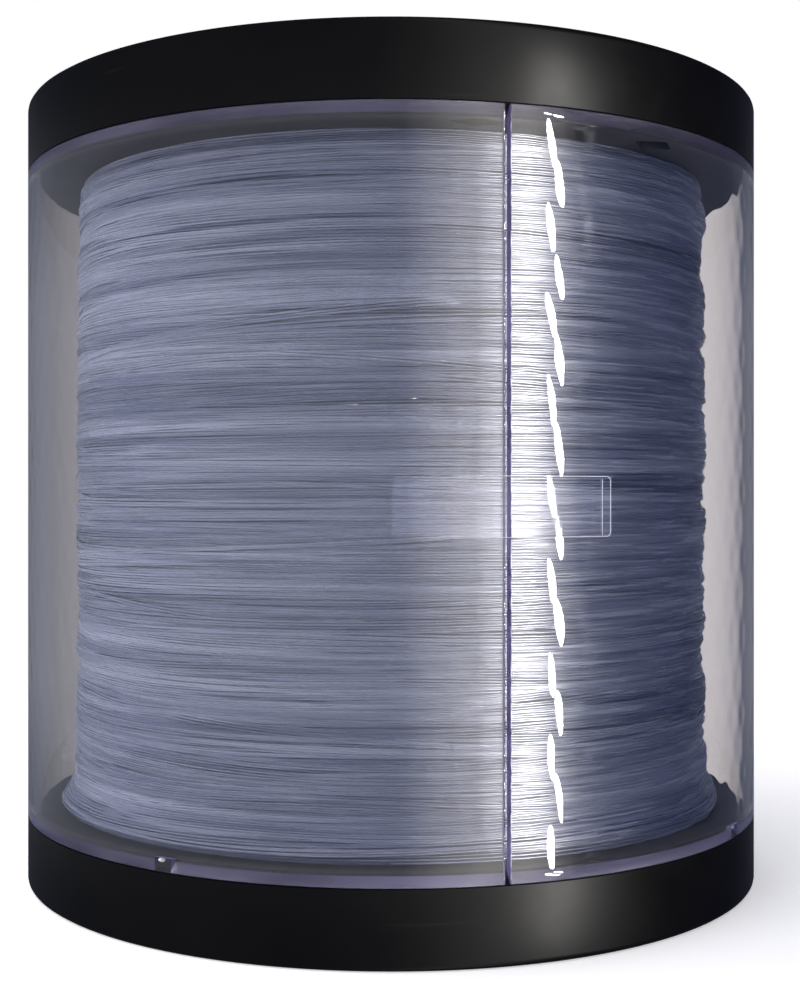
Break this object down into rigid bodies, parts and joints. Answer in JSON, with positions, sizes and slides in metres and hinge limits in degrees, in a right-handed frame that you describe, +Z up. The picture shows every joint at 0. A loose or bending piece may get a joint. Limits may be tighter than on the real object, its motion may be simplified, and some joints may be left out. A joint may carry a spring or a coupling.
{
  "type": "fishing line spool",
  "caption": "Bulk spool of monofilament line on two moulded flanges, with a clear hinged cover that opens at a seam and turns on the flanges.",
  "frame": {"origin": "centre of the bottom end, at the height of the surface that the lower rim stands on", "axes": "+Z up along the spool's axis, -Y towards the front, +X to the right seen from the front"},
  "size_m": [0.115, 0.1152, 0.119],
  "materials": {
    "flange_plastic": "black moulded plastic, satin gloss",
    "core_plastic": "extruded dark plastic tube",
    "tape": "cream adhesive tape",
    "monofilament": "translucent pale grey-blue nylon line",
    "cover_plastic": "thick clear plastic with a faint violet tint",
    "seal_film": "clear adhesive film",
    "label_paper": "plain coated paper"
  },
  "bodies": {
    "spool": {"lower_flange": "flange_plastic", "upper_flange": "flange_plastic", "core_tube": "core_plastic", "start_tape": "tape", "line_winding": "monofilament", "lower_label": "label_paper", "upper_label": "label_paper"},
    "cover_left": {"cover_left": "cover_plastic"},
    "cover_right": {"cover_right": "cover_plastic", "seam_seal": "seal_film"}
  },
  "joints": [
    {"name": "cover_turn", "type": "hinge", "parent": "spool", "child": "cover_left", "pos_m": [0, 0, 0.0595], "axis": [0, 0, 1], "continuous": true},
    {"name": "cover_open", "type": "hinge", "parent": "cover_left", "child": "cover_right", "pos_m": [-0.01469, 0.05559, 0.0595], "axis": [0, 0, 1], "range_deg": [0, 110]}
  ]
}
